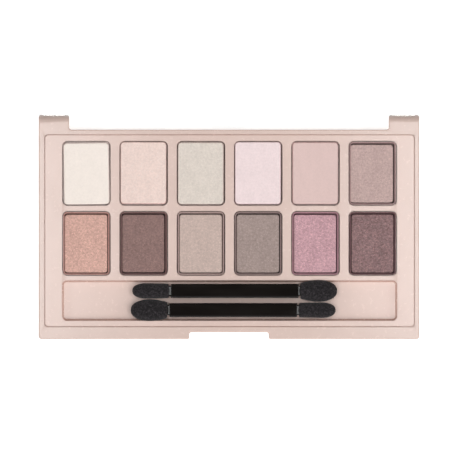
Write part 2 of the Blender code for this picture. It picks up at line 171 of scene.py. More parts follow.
# Colours, as sRGB
SHELL_PINK = "#D4BCB2"
DECK_PINK = "#D8BFB5"
HANDLE_BLACK = "#120E0C"
FOAM_BLACK = "#242123"
# Bare dark metal low in a full pan, darkened further as painted shade in the crack.
PAN_DARK = "#4A2E26"
PAN_FILM = "#E2D8DC"  # what a pan's rim keeps of its powder's colour
LABEL_WHITE = "#F1EEEA"

# Colours, as linear RGBA
WHITE = (1, 1, 1, 1)
PAINTED_WALL_SHADE = (0.94, 0.8, 0.76, 1)  # painted shade: how much of the deck's colour its walls keep, darker and warmer as if in shade

# Each shade has its colour, the gaps in millimetres between its cake and the pan's left, right, front and
# rear sides, how crumbly its edge is, how much it shimmers, and how its pan is seated in the well: moved
# to the right and to the rear in millimetres, and turned in degrees.
Shade = namedtuple("Shade", "colour gaps crumble shimmer seat")
SHADES = {
    "back_1": Shade("#F5EAE1", (0.24, 0.32, 0.20, 0.40), 0.1, 0.05, (0.0, 0.0, 0.8)),
    "back_2": Shade("#ECD5CC", (0.16, 0.20, 0.40, 0.18), 0.2, 0.25, (-0.10, 0.10, 0.0)),
    "back_3": Shade("#DCD1C7", (0.18, 0.28, 0.22, 0.28), 0.2, 0.25, (-0.06, 0.05, 0.0)),
    "back_4": Shade("#EDDADA", (0.16, 0.20, 0.22, 0.18), 0.2, 0.12, (-0.10, 0.10, 0.0)),
    "back_5": Shade("#DCC1BC", (0.28, 0.20, 0.22, 0.30), 0.1, 0.05, (-0.10, 0.10, 0.0)),
    "back_6": Shade("#BEA49F", (0.30, 0.95, 0.70, 0.90), 1.0, 0.55, (-0.05, 0.0, 0.0)),
    "front_1": Shade("#D2A89B", (0.58, 0.74, 0.76, 0.90), 0.5, 0.75, (-0.04, 0.0, 0.0)),
    "front_2": Shade("#8B6F6A", (0.58, 0.82, 0.84, 0.88), 0.5, 0.75, (-0.04, 0.0, 0.0)),
    "front_3": Shade("#C4AFA6", (0.60, 0.74, 0.76, 0.88), 0.5, 0.45, (-0.03, 0.0, 0.0)),
    "front_4": Shade("#A18F89", (0.60, 0.74, 0.76, 0.88), 0.5, 0.65, (-0.03, 0.0, 0.0)),
    "front_5": Shade("#C299A0", (0.60, 0.82, 0.78, 0.94), 0.9, 0.90, (-0.04, 0.0, 0.0)),
    "front_6": Shade("#866868", (0.66, 0.78, 0.74, 0.80), 0.7, 1.50, (-0.02, 0.0, 0.0)),
}


def linear(hex_colour, gain=1.0):
    """The linear RGBA of an sRGB hex colour, times gain and at most 1."""
    channels = [int(hex_colour[i : i + 2], 16) / 255 for i in (1, 3, 5)]
    channels = [c / 12.92 if c <= 0.04045 else ((c + 0.055) / 1.055) ** 2.4 for c in channels]
    return (*(min(c * gain, 1.0) for c in channels), 1.0)


# Outlines and skins


def rounded_polygon(corners):
    """Points round a polygon, anticlockwise, whose corners are (x, y, radius)."""
    points = []
    for i, (x, y, radius) in enumerate(corners):
        here = Vector((x, y))
        back = (Vector(corners[i - 1][:2]) - here).normalized()
        ahead = (Vector(corners[(i + 1) % len(corners)][:2]) - here).normalized()
        half = back.angle(ahead) / 2
        centre = here + (back + ahead).normalized() * radius / math.sin(half)
        start = here + back * radius / math.tan(half) - centre
        end = here + ahead * radius / math.tan(half) - centre
        sweep = start.angle_signed(end)
        for step in range(CORNER_STEPS + 1):
            spin = Matrix.Rotation(-sweep * step / CORNER_STEPS, 2)
            points.append(centre + spin @ start)
    return points


def rectangle(low, high, radius, inset=0.0):
    """A rounded rectangle between two corners, with every side moved inwards."""
    left, front = low[0] + inset, low[1] + inset
    right, rear = high[0] - inset, high[1] - inset
    radius = max(radius - inset, SMALLEST_CORNER)
    return rounded_polygon(
        [(left, front, radius), (right, front, radius), (right, rear, radius), (left, rear, radius)]
    )


def add_ring(bm, outline, z):
    """Add the vertices of an outline at one height."""
    return [bm.verts.new((x, y, z)) for x, y in outline]


def add_skin(bm, rings):
    """Join rings of equal length with quads."""
    for lower, upper in zip(rings, rings[1:]):
        for i in range(len(lower)):
            j = (i + 1) % len(lower)
            bm.faces.new((lower[i], lower[j], upper[j], upper[i]))


def add_loft(bm, sections):
    """Add a closed skin through outlines of equal length, each given with its height."""
    rings = [add_ring(bm, outline, z) for outline, z in sections]
    add_skin(bm, rings)
    bm.faces.new(rings[0][::-1])
    bm.faces.new(rings[-1])


def fill_between(bm, rings):
    """Fill the flat area inside the first ring and outside all the others."""
    edges = []
    for ring in rings:
        for i in range(len(ring)):
            pair = (ring[i], ring[(i + 1) % len(ring)])
            edges.append(bm.edges.get(pair) or bm.edges.new(pair))
    bmesh.ops.triangle_fill(bm, use_beauty=True, edges=edges, normal=(0, 0, 1))


def round_over(radius, steps=EDGE_STEPS):
    """(inset, drop) pairs from the side of a rounded edge up to its top."""
    angles = [math.pi / 2 * i / steps for i in range(steps + 1)]
    return [(radius * (1 - math.cos(a)), radius * (1 - math.sin(a))) for a in angles]


def upper_edge(bm, outline, top, radius):
    """Add rings up over a rounded outer edge, whose outline is a function of its inset."""
    return [add_ring(bm, outline(inset), top - drop) for inset, drop in round_over(radius)]


def opening_edge(bm, outline, top, radius):
    """Add rings down over an opening's rounded edge, whose outline is a function of its outset."""
    return [add_ring(bm, outline(outset), top - drop) for outset, drop in reversed(round_over(radius))]


def arc(centre_y, centre_z, radius, start, end, steps):
    """(y, z) points along an arc, with its angles in degrees from +Y towards +Z."""
    angles = [math.radians(start + (end - start) * i / steps) for i in range(steps + 1)]
    return [(centre_y + radius * math.cos(a), centre_z + radius * math.sin(a)) for a in angles]


def circle(centre_y, centre_z, radius):
    """(y, z) points all the way round a circle."""
    return arc(centre_y, centre_z, radius, 0, 360 - 360 / ROUND_STEPS, ROUND_STEPS - 1)


def add_extrusion_x(bm, profile, left, right):
    """Add a prism along X from its (y, z) profile."""
    ends = [[bm.verts.new((x, y, z)) for y, z in profile] for x in (left, right)]
    add_skin(bm, ends)
    bm.faces.new(ends[0][::-1])
    bm.faces.new(ends[1])


def add_box(bm, low, high):
    """Add a box between two corners."""
    corners = [(low[0], low[1]), (high[0], low[1]), (high[0], high[1]), (low[0], high[1])]
    add_loft(bm, [(corners, low[2]), (corners, high[2])])


def to_mesh(bm, name):
    """Turn the bmesh into a mesh whose faces point outwards."""
    bmesh.ops.recalc_face_normals(bm, faces=bm.faces)
    mesh = bpy.data.meshes.new(name)
    bm.to_mesh(mesh)
    bm.free()
    return mesh


def new_object(name, mesh):
    """Put a mesh in the scene."""
    obj = bpy.data.objects.new(name, mesh)
    bpy.context.scene.collection.objects.link(obj)
    return obj


def combine(obj, steps):
    """Cut each bmesh from the object or join it on, from (operation, bmesh) in turn."""
    helpers = []
    for operation, bm in steps:
        helper = new_object("helper", to_mesh(bm, "helper"))
        helpers.append(helper)
        modifier = obj.modifiers.new(operation, "BOOLEAN")
        modifier.operation = operation
        modifier.object = helper
    bpy.context.view_layer.update()
    result = bpy.data.meshes.new_from_object(obj.evaluated_get(bpy.context.evaluated_depsgraph_get()))
    obj.modifiers.clear()
    obj.data = result
    for helper in helpers:
        bpy.data.objects.remove(helper, do_unlink=True)


def smooth(obj, degrees=35, weighted=True):
    """Shade smooth up to an angle; weighting keeps flat faces flat."""
    obj.data.shade_smooth()
    obj.data.set_sharp_from_angle(angle=math.radians(degrees))
    if weighted:
        modifier = obj.modifiers.new("flat faces stay flat", "WEIGHTED_NORMAL")
        modifier.keep_sharp = True


def finish_piece(obj, mat, body, node):
    """Give a piece its material, and let it stand for its node."""
    obj.data.materials.clear()
    obj.data.materials.append(mat)
    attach(obj, body)
    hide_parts(node)


# Materials


class Nodes:
    """A short way to build a node material around its Principled shader."""

    def __init__(self, name, roughness, metallic=0.0, specular=0.5):
        self.mat = bpy.data.materials.new(name)
        self.mat.use_nodes = True
        self.tree = self.mat.node_tree
        self.shader = self.tree.nodes["Principled BSDF"]
        self.shader.inputs["Roughness"].default_value = roughness
        self.shader.inputs["Metallic"].default_value = metallic
        self.shader.inputs["Specular IOR Level"].default_value = specular
        self.place = self.add("ShaderNodeTexCoord").outputs["Object"]

    def add(self, kind, **settings):
        """Add a node and set its properties."""
        node = self.tree.nodes.new(kind)
        for key, value in settings.items():
            setattr(node, key, value)
        return node

    def link(self, source, target):
        """Join an output socket to an input socket."""
        self.tree.links.new(source, target)

    def noise(self, size, detail=2.0, roughness=0.5, stretch=(1, 1, 1)):
        """Noise whose features are about size metres across, longer along a stretched axis."""
        mapping = self.add("ShaderNodeMapping")
        mapping.inputs["Scale"].default_value = [1 / (size * s) for s in stretch]
        self.link(self.place, mapping.inputs["Vector"])
        texture = self.add("ShaderNodeTexNoise")
        texture.inputs["Scale"].default_value = 1.0
        texture.inputs["Detail"].default_value = detail
        texture.inputs["Roughness"].default_value = roughness
        self.link(mapping.outputs["Vector"], texture.inputs["Vector"])
        return texture.outputs["Fac"]

    def cells(self, size, output="Color"):
        """Voronoi cells about size metres across."""
        texture = self.add("ShaderNodeTexVoronoi")
        texture.inputs["Scale"].default_value = 1 / size
        self.link(self.place, texture.inputs["Vector"])
        return texture.outputs[output]

    def ramp(self, source, stops):
        """A value turned into a colour by (position, colour) stops."""
        node = self.add("ShaderNodeValToRGB")
        elements = node.color_ramp.elements
        elements[0].position, elements[0].color = stops[0]
        elements[1].position, elements[1].color = stops[-1]
        for position, colour in stops[1:-1]:
            elements.new(position).color = colour
        self.link(source, node.inputs["Fac"])
        return node.outputs["Color"]

    def spread(self, source, low, high, start=0.3, end=0.7, interpolation="LINEAR"):
        """A value spread from start..end over low..high."""
        node = self.add("ShaderNodeMapRange", interpolation_type=interpolation)
        node.inputs["From Min"].default_value = start
        node.inputs["From Max"].default_value = end
        node.inputs["To Min"].default_value = low
        node.inputs["To Max"].default_value = high
        self.link(source, node.inputs["Value"])
        return node.outputs["Result"]

    def mix(self, factor, first, second, blend="MIX"):
        """Two colours mixed; each may be a socket or a colour, and the factor a socket or a number."""
        node = self.add("ShaderNodeMix", data_type="RGBA", blend_type=blend)
        # This node numbers its colour sockets 6 and 7, and its colour output 2
        for source, socket in ((factor, node.inputs[0]), (first, node.inputs[6]), (second, node.inputs[7])):
            if isinstance(source, bpy.types.NodeSocket):
                self.link(source, socket)
            else:
                socket.default_value = source
        return node.outputs[2]

    def bump(self, source, depth, strength=1.0):
        """Turn a height into the shader's normal, depth metres high."""
        node = self.add("ShaderNodeBump")
        node.inputs["Strength"].default_value = strength
        node.inputs["Distance"].default_value = depth
        self.link(source, node.inputs["Height"])
        self.link(node.outputs["Normal"], self.shader.inputs["Normal"])

    def height(self, low, high):
        """How high a point lies, from 0 at low to 1 at high."""
        split = self.add("ShaderNodeSeparateXYZ")
        self.link(self.place, split.inputs["Vector"])
        return self.spread(split.outputs["Z"], 0.0, 1.0, low, high)

    def mix_shaders(self, factor, first, second):
        """Make the surface a mixture of two shaders, given by their output sockets."""
        node = self.add("ShaderNodeMixShader")
        for source, socket in zip((factor, first, second), node.inputs):
            self.link(source, socket)
        self.link(node.outputs["Shader"], self.tree.nodes["Material Output"].inputs["Surface"])


def plastic_material(name, colour, roughness, painted_wall_shade=None):
    """Satin moulded plastic with a faint pearl mottle and a fine grain.

    A painted wall shade darkens and warms what lies between the trough's floor and the deck's face,
    standing in for the shade down in the trough and the wells.
    """
    nodes = Nodes(name, roughness)
    mottle = nodes.noise(9 * MM, detail=3)
    flow = nodes.noise(1.2 * MM, detail=2)
    base = nodes.ramp(mottle, [(0.3, linear(colour, 0.975)), (0.7, linear(colour, 1.02))])
    speck = nodes.ramp(flow, [(0.3, (0.985, 0.985, 0.985, 1)), (0.7, WHITE)])
    base = nodes.mix(1.0, base, speck, "MULTIPLY")
    if painted_wall_shade:
        # Painted shade: the walls between the trough's floor and the deck's face are darker and warmer.
        height = nodes.height(TROUGH_FLOOR, DECK_HIGH.z)
        walls = nodes.ramp(height, [(0.04, WHITE), (0.1, painted_wall_shade), (0.85, painted_wall_shade), (0.93, WHITE)])
        base = nodes.mix(1.0, base, walls, "MULTIPLY")
    nodes.link(base, nodes.shader.inputs["Base Color"])
    nodes.link(nodes.spread(flow, roughness - 0.03, roughness + 0.03), nodes.shader.inputs["Roughness"])
    nodes.bump(nodes.noise(0.3 * MM, detail=1), depth=0.002 * MM, strength=0.5)
    return nodes.mat


def powder_material(name, colour, shimmer):
    """Pressed powder: fine grain, faint press marks, and paler mica flakes, partly painted glints, where it
    shimmers.
    """
    nodes = Nodes(name, 0.8, specular=0.25)
    grain = nodes.noise(0.7 * MM, detail=4, roughness=0.7)
    marks = nodes.noise(2.6 * MM, detail=3, stretch=(1, 2, 1))
    contrast = 0.02 + 0.3 * shimmer
    base = nodes.ramp(grain, [(0.3, linear(colour, 1 - contrast)), (0.7, linear(colour, 1 + contrast))])
    pressed = 0.98 - 0.1 * shimmer
    marked = nodes.ramp(marks, [(0.35, (pressed, pressed, pressed, 1)), (0.65, WHITE)])
    base = nodes.mix(1.0, base, marked, "MULTIPLY")
    flakes = nodes.add("ShaderNodeSeparateColor")
    nodes.link(nodes.cells(0.3 * MM), flakes.inputs["Color"])
    # Mica flakes painted paler than the shade: pale flakes and, in part, painted glints.
    picked = nodes.spread(flakes.outputs["Red"], 0.0, 0.55 * shimmer, 0.84, 0.97)
    base = nodes.mix(picked, base, linear(colour, 1.6))
    nodes.link(base, nodes.shader.inputs["Base Color"])
    worn = nodes.spread(flakes.outputs["Green"], 0.85, 0.85 - 0.35 * shimmer)
    nodes.link(worn, nodes.shader.inputs["Roughness"])
    nodes.bump(grain, depth=0.03 * MM, strength=0.25 + 0.5 * shimmer)
    nodes.shader.inputs["Sheen Weight"].default_value = 0.05
    return nodes.mat


def pan_material(name, colour, below, rim):
    """Drawn tinplate, with a film of powder on its rim and, below that, a darker colour that is painted
    shade down in the crack.
    """
    nodes = Nodes(name, 0.6, specular=0.25)
    dust = nodes.noise(0.8 * MM, detail=4, roughness=0.7)
    powdered = nodes.ramp(dust, [(0.3, linear(colour, 0.8)), (0.7, linear(colour, 1.2))])
    film = nodes.mix(1.0, powdered, linear(PAN_FILM), "MULTIPLY")
    near_rim = nodes.height(rim - 0.3 * MM, rim - 0.03 * MM)
    # Below the rim the colour is painted shade down in the crack between pan and cake.
    base = nodes.mix(near_rim, below, film)
    nodes.link(base, nodes.shader.inputs["Base Color"])
    nodes.link(nodes.spread(dust, 0.45, 0.75), nodes.shader.inputs["Roughness"])
    nodes.bump(dust, depth=0.04 * MM, strength=0.5)
    return nodes.mat


def handle_material():
    """Glossy black moulded plastic with faint handling haze."""
    nodes = Nodes("handle_gloss", 0.08, specular=0.35)
    haze = nodes.noise(3 * MM, detail=3, stretch=(4, 1, 1))
    base = nodes.ramp(haze, [(0.3, linear(HANDLE_BLACK, 0.85)), (0.7, linear(HANDLE_BLACK, 1.15))])
    nodes.link(base, nodes.shader.inputs["Base Color"])
    nodes.link(nodes.spread(haze, 0.06, 0.12), nodes.shader.inputs["Roughness"])
    return nodes.mat


def foam_material():
    """Fine black foam, with pores and paler worn cell walls."""
    nodes = Nodes("sponge_foam", 0.95, specular=0.12)
    pores = nodes.cells(0.34 * MM, "Distance")
    grain = nodes.noise(0.6 * MM, detail=4, roughness=0.7)
    worn = linear(FOAM_BLACK, 2.4)
    base = nodes.ramp(grain, [(0.36, linear(FOAM_BLACK, 0.35)), (0.5, linear(FOAM_BLACK)), (0.64, worn)])
    holes = nodes.ramp(pores, [(0.1, (0.5, 0.5, 0.5, 1)), (0.5, WHITE)])
    nodes.link(nodes.mix(1.0, base, holes, "MULTIPLY"), nodes.shader.inputs["Base Color"])
    nodes.bump(pores, depth=0.09 * MM, strength=0.8)
    nodes.shader.inputs["Sheen Weight"].default_value = 0.12
    nodes.shader.inputs["Sheen Roughness"].default_value = 0.6
    return nodes.mat


def lid_material():
    """Clear moulded plastic: a face mirrors a little face on and more at a slant, and passes the rest."""
    nodes = Nodes("clear_moulding", 0.04, metallic=1.0)
    haze = nodes.noise(14 * MM, detail=1)
    tint = nodes.ramp(haze, [(0.3, (0.9, 0.93, 0.93, 1)), (0.7, (0.95, 0.97, 0.97, 1))])
    nodes.link(tint, nodes.shader.inputs["Base Color"])
    nodes.bump(haze, depth=0.02 * MM, strength=0.3)
    see_through = nodes.add("ShaderNodeBsdfTransparent")
    see_through.inputs["Color"].default_value = (0.985, 0.992, 0.992, 1)
    slant = nodes.add("ShaderNodeLayerWeight")
    slant.inputs["Blend"].default_value = 0.5
    steep = nodes.add("ShaderNodeMath", operation="POWER")
    steep.inputs[1].default_value = 5.0
    nodes.link(slant.outputs["Facing"], steep.inputs[0])
    mirrored = nodes.spread(steep.outputs["Value"], 0.012, 1.0, 0.0, 1.0)
    nodes.mix_shaders(mirrored, see_through.outputs["BSDF"], nodes.shader.outputs["BSDF"])
    return nodes.mat


def label_material():
    """Uncoated paper with faint fibres."""
    nodes = Nodes("label_stock", 0.8, specular=0.3)
    fibres = nodes.noise(0.7 * MM, detail=4, roughness=0.7, stretch=(3, 1, 1))
    base = nodes.ramp(fibres, [(0.3, linear(LABEL_WHITE, 0.95)), (0.7, linear(LABEL_WHITE, 1.0))])
    nodes.link(base, nodes.shader.inputs["Base Color"])
    nodes.bump(fibres, depth=0.01 * MM, strength=0.4)
    return nodes.mat


# Base shell


def base_outline(inset):
    """The shell's outline with its ears and its thumb notch, moved inwards by inset."""
    side = BASE_HIGH.x - inset
    front = BASE_LOW.y + inset
    rear = BASE_REAR - inset
    ear_rear = BASE_HIGH.y - inset
    ear_inner = EAR_INNER + inset
    notch = NOTCH_HALF_WIDTH + inset
    right_half = [
        (notch, NOTCH_BACK + inset, NOTCH_CORNER + inset),
        (notch, front, NOTCH_CORNER - inset),
        (side, front, BASE_CORNER - inset),
        (side, ear_rear, EAR_CORNER - inset),
        (ear_inner, ear_rear, EAR_CORNER - inset),
        (ear_inner, rear, EAR_CORNER + inset),
    ]
    left_half = [(-x, y, radius) for x, y, radius in reversed(right_half)]
    return rounded_polygon(right_half + left_half)


def pocket_outline(outset):
    """The shell's pocket round the deck, moved outwards by outset."""
    return rectangle(DECK_LOW + INNER_SHIFT, DECK_HIGH + INNER_SHIFT, POCKET_CORNER, -SHELL_SEAM - outset)


def shell_skin():
    """The shell's closed skin, before its small hollows are cut."""
    bm = bmesh.new()
    outer = [add_ring(bm, base_outline(inset), rise) for inset, rise in reversed(round_over(FOOT_ROUND))]
    outer += upper_edge(bm, base_outline, BASE_HIGH.z, RIM_ROUND)
    inner = opening_edge(bm, pocket_outline, BASE_HIGH.z, POCKET_ROUND)
    inner.append(add_ring(bm, pocket_outline(0), BASE_FLOOR))
    add_skin(bm, outer)
    add_skin(bm, inner)
    bm.faces.new(outer[0][::-1])
    bm.faces.new(inner[-1])
    fill_between(bm, [outer[-1], inner[0]])
    return bm


def shell_hollows():
    """The hinge sockets, the catch groove and the label recess, as one cutter."""
    bm = bmesh.new()
    socket = circle(HINGE.y, HINGE.z, SOCKET_RADIUS)
    add_extrusion_x(bm, socket, EAR_INNER - PAST, EAR_INNER + SOCKET_DEPTH)
    add_extrusion_x(bm, socket, -EAR_INNER - SOCKET_DEPTH, PAST - EAR_INNER)
    groove_low = (-CATCH_HALF_WIDTH, NOTCH_BACK - PAST, CATCH_BOTTOM)
    groove_high = (CATCH_HALF_WIDTH, NOTCH_BACK + CATCH_DEPTH, CATCH_TOP)
    add_box(bm, groove_low, groove_high)
    recess = rectangle(LABEL_LOW, LABEL_HIGH, LABEL_CORNER, -SHELL_SEAM)
    add_loft(bm, [(recess, -PAST), (recess, LABEL_RECESS)])
    return bm


def ear_rounding():
    """The cutter that rounds the rear top edge of both ears."""
    bm = bmesh.new()
    round_y = BASE_HIGH.y - EAR_ROUND
    round_z = BASE_HIGH.z - EAR_ROUND
    outside = [
        (BASE_HIGH.y, round_z - PAST),
        (BASE_HIGH.y + PAST, round_z - PAST),
        (BASE_HIGH.y + PAST, BASE_HIGH.z + PAST),
        (round_y - PAST, BASE_HIGH.z + PAST),
        (round_y - PAST, BASE_HIGH.z),
    ]
    rounding = arc(round_y, round_z, EAR_ROUND, 90, 0, steps=3 * EDGE_STEPS)
    add_extrusion_x(bm, outside + rounding, BASE_LOW.x - PAST, BASE_HIGH.x + PAST)
    return bm


def make_shell():
    """The outer tray."""
    shell = new_object("tray_shell", to_mesh(shell_skin(), "tray_shell"))
    combine(shell, [("DIFFERENCE", shell_hollows()), ("DIFFERENCE", ear_rounding())])
    smooth(shell)
    mat = plastic_material("shell_satin", SHELL_PINK, 0.25)
    finish_piece(shell, mat, "base", "base_shell")


# Deck


def deck_outline(seam):
    """The deck's outline, this far from the shell's pocket."""
    low, high = DECK_LOW + INNER_SHIFT, DECK_HIGH + INNER_SHIFT
    return rectangle(low, high, DECK_CORNER, seam - SHELL_SEAM)


def well_outline(name, outset):
    """The outline of one pan's well, moved outwards by outset."""
    low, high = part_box(f"pan_{name}")
    return rectangle(low + INNER_SHIFT, high + INNER_SHIFT, WELL_CORNER, -WELL_GAP - outset)


def trough_outline(outset):
    """The trough's outline, moved outwards by outset."""
    low = Vector((-TROUGH_HALF_WIDTH, TROUGH_FRONT, 0)) + INNER_SHIFT
    high = Vector((TROUGH_HALF_WIDTH, TROUGH_REAR, 0)) + INNER_SHIFT
    return rectangle(low, high, TROUGH_CORNER, -outset)


def add_well(bm, name):
    """Add one pan's well, and return the ring that it opens at."""
    rings = opening_edge(bm, lambda outset: well_outline(name, outset), DECK_HIGH.z, WELL_LIP)
    rings.append(add_ring(bm, well_outline(name, 0), WELL_FLOOR))
    add_skin(bm, rings)
    bm.faces.new(rings[-1])
    return rings[0]


def add_trough(bm):
    """Add the trough, whose walls lean in, and return the ring that it opens at."""
    rings = opening_edge(bm, trough_outline, DECK_HIGH.z, TROUGH_LIP)
    for inset, rise in round_over(TROUGH_FILLET):
        rings.append(add_ring(bm, trough_outline(-TROUGH_DRAFT - inset), TROUGH_FLOOR + rise))
    add_skin(bm, rings)
    bm.faces.new(rings[-1])
    return rings[0]


def make_deck():
    """The deck with its twelve wells and the trough."""
    bm = bmesh.new()
    step = DECK_HIGH.z - SEAM_DEPTH
    outer = [add_ring(bm, deck_outline(SEAM_BELOW), z) for z in (DECK_LOW.z, step)]
    outer.append(add_ring(bm, deck_outline(SEAM_WIDTH), step))
    outer += upper_edge(bm, lambda inset: deck_outline(SEAM_WIDTH + inset), DECK_HIGH.z, DECK_ROUND)
    add_skin(bm, outer)
    bm.faces.new(outer[0][::-1])
    openings = [add_well(bm, name) for name in SHADES]
    openings.append(add_trough(bm))
    fill_between(bm, [outer[-1]] + openings)
    deck = new_object("tray_deck", to_mesh(bm, "tray_deck"))
    smooth(deck)
    # The deck's walls get painted shade, darker and warmer than its face.
    mat = plastic_material("deck_satin", DECK_PINK, 0.25, PAINTED_WALL_SHADE)
    finish_piece(deck, mat, "base", "deck_insert")


# Pans and powder


def seated(name, points):
    """Points moved and turned the way that this pan sits in its well."""
    right, rear, degrees = SHADES[name].seat
    low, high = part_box(f"pan_{name}")
    centre = (low + high).xy / 2
    moved = centre + INNER_SHIFT.xy + Vector((right, rear)) * MM
    spin = Matrix.Rotation(math.radians(degrees), 2)
    return [moved + spin @ (Vector(p) - centre) for p in points]


def is_full(name):
    """Whether the powder covers this pan's rim."""
    return max(SHADES[name].gaps) < FULL_GAP


def make_pan(name):
    """A drawn tray with a rolled rim and walls that lean in towards its floor."""
    low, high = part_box(f"pan_{name}")
    rim = high.z - (FULL_RIM_DROP if is_full(name) else RIM_DROP)
    # From the outside of the floor over the rim to the inside: (inset in millimetres, height)
    profile = [
        (0.45, low.z),
        (0.06, low.z + 0.35 * MM),
        (0.06, rim - 0.12 * MM),
        (0.09, rim - 0.03 * MM),
        (0.14, rim),
        (0.38, rim),
        (0.43, rim - 0.03 * MM),
        (0.46, rim - 0.2 * MM),
        (0.54, rim - 0.9 * MM),
        (0.8, low.z + 0.4 * MM),
    ]
    bm = bmesh.new()
    sections = []
    for inset, z in profile:
        outline = rectangle(low, high, WELL_CORNER - WELL_GAP, inset * MM)
        sections.append((seated(name, outline), z))
    add_loft(bm, sections)
    pan = new_object(f"pan_tray_{name}", to_mesh(bm, f"pan_tray_{name}"))
    smooth(pan, degrees=50)
    colour = SHADES[name].colour
    # Painted shade below the rim: bare dark metal darkened in a full pan, else the shade's own colour
    # darkened.
    below = linear(PAN_DARK) if is_full(name) else linear(colour, 0.45)
    mat = pan_material(f"pan_dusted_{name}", colour, below, rim)
    finish_piece(pan, mat, "base", f"pan_{name}")


def side_lengths(points):
    """The length of each side of a closed outline."""
    return [(points[(i + 1) % len(points)] - p).length for i, p in enumerate(points)]


def evenly_spaced(points, count):
    """The closed outline again, as this many evenly spaced points."""
    lengths = side_lengths(points)
    result = []
    i = 0
    walked = 0.0
    for k in range(count):
        target = sum(lengths) * k / count
        while walked + lengths[i] < target:
            walked += lengths[i]
            i += 1
        share = (target - walked) / lengths[i] if lengths[i] else 0.0
        result.append(points[i].lerp(points[(i + 1) % len(points)], share))
    return result


def cake_outline(name, inset):
    """The cake's outline, inset from its own edge."""
    low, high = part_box(f"pan_{name}")
    left, right, front, rear = (gap * MM for gap in SHADES[name].gaps)
    cake_low = (low.x + left, low.y + front)
    cake_high = (high.x - right, high.y - rear)
    return rectangle(cake_low, cake_high, WELL_CORNER - WELL_GAP - min(left, rear) / 2, inset)


def cake_ring(name, inset, drop, count, centre, top):
    """One ring of a cake, worn in at its edge and faintly uneven, as (x, y, z) points."""
    seed = Vector((list(SHADES).index(name) * CAKE_NOISE_STEP, 0, 0))
    fade = max(0.0, 1 - inset / CRUMBLE_REACH)
    places = []
    heights = []
    for point in evenly_spaced(cake_outline(name, inset * MM), count):
        at = Vector((*point / MM, 0)) + seed
        ragged = noise.noise(at * 2.1) + 0.6 * noise.noise(at * 5.3)
        uneven = noise.noise(at * 0.5) * 0.03 + noise.noise(at * 3.0) * 0.012
        inward = (centre - point).normalized()
        places.append(point + inward * abs(ragged) * SHADES[name].crumble * CRUMBLE_DEPTH * MM * fade)
        heights.append(top - drop * MM + (uneven * MM if drop < UNEVEN_DEPTH else 0))
    return [(*place, z) for place, z in zip(seated(name, places), heights)]


def make_cake(name):
    """A pressed cake with a softly rounded, crumbly edge and a faintly uneven face."""
    low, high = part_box(f"eyeshadow_{name}")
    top = high.z + (FULL_CAKE_RISE if is_full(name) else -CAKE_SINK)
    centre = Vector(((low.x + high.x) / 2, (low.y + high.y) / 2))
    count = round(sum(side_lengths(cake_outline(name, 0))) / CAKE_STEP)
    bm = bmesh.new()
    rings = []
    for inset, drop in [(0.0, (top - low.z) / MM)] + CAKE_SIDE + CAKE_FACE:
        ring = cake_ring(name, inset, drop, count, centre, top)
        rings.append([bm.verts.new(point) for point in ring])
    add_skin(bm, rings)
    bm.faces.new(rings[0][::-1])
    bm.faces.new(rings[-1])
    cake = new_object(f"powder_{name}", to_mesh(bm, f"powder_{name}"))
    smooth(cake, degrees=60)
    mat = powder_material(f"pressed_powder_{name}", SHADES[name].colour, SHADES[name].shimmer)
    finish_piece(cake, mat, "base", f"eyeshadow_{name}")


# Applicators


def add_turned(bm, profile, centre, direction):
    """Add a body round an axis along X, from (distance, half-width, half-height) in order."""
    angles = [math.tau * i / ROUND_STEPS for i in range(ROUND_STEPS)]
    rings = []
    for x, half_y, half_z in profile:
        at = centre + Vector((direction * x, 0, 0))
        if half_y == 0:
            rings.append([bm.verts.new(at)])
            continue
        spokes = [Vector((0, half_y * math.cos(a), half_z * math.sin(a))) for a in angles]
        rings.append([bm.verts.new(at + spoke) for spoke in spokes])
    for first, second in zip(rings, rings[1:]):
        for i in range(ROUND_STEPS):
            j = (i + 1) % ROUND_STEPS
            if len(first) == 1:
                bm.faces.new((first[0], second[i], second[j]))
            elif len(second) == 1:
                bm.faces.new((first[i], second[0], first[j]))
            else:
                bm.faces.new((first[i], second[i], second[j], first[j]))


def add_bar_x(bm, sections, centre):
    """Add a bar along X from (distance, half-width, half-height), with rounded rectangles for sections."""
    rings = []
    for x, half_y, half_z in sections:
        outline = rectangle((-half_y, -half_z), (half_y, half_z), HANDLE_CORNER)
        rings.append([bm.verts.new(centre + Vector((x, y, z))) for y, z in outline])
    add_skin(bm, rings)
    bm.faces.new(rings[0][::-1])
    bm.faces.new(rings[-1])


def make_handle(which, centre, mat):
    """A flat-topped handle, with a sloping collar at each end that the foam sits against."""
    end = HANDLE_HALF_LENGTH
    right_end = [(end - 3 * HANDLE_END_ROUND, HANDLE_HALF_WIDTH, HANDLE_HALF_HEIGHT)]
    for inset, drop in reversed(round_over(HANDLE_END_ROUND)):
        right_end.append((end - inset, HANDLE_HALF_WIDTH - drop, HANDLE_HALF_HEIGHT - drop))
    right_end.append((end, *COLLAR_AT_HANDLE))
    right_end.append((end + COLLAR_LENGTH, *COLLAR_AT_FOAM))
    left_end = [(-x, *section) for x, *section in reversed(right_end)]
    bm = bmesh.new()
    add_bar_x(bm, left_end + right_end, centre)
    handle = new_object(f"{which}_handle", to_mesh(bm, f"{which}_handle"))
    smooth(handle, degrees=20)
    finish_piece(handle, mat, f"applicator_{which}", f"applicator_{which}_handle")


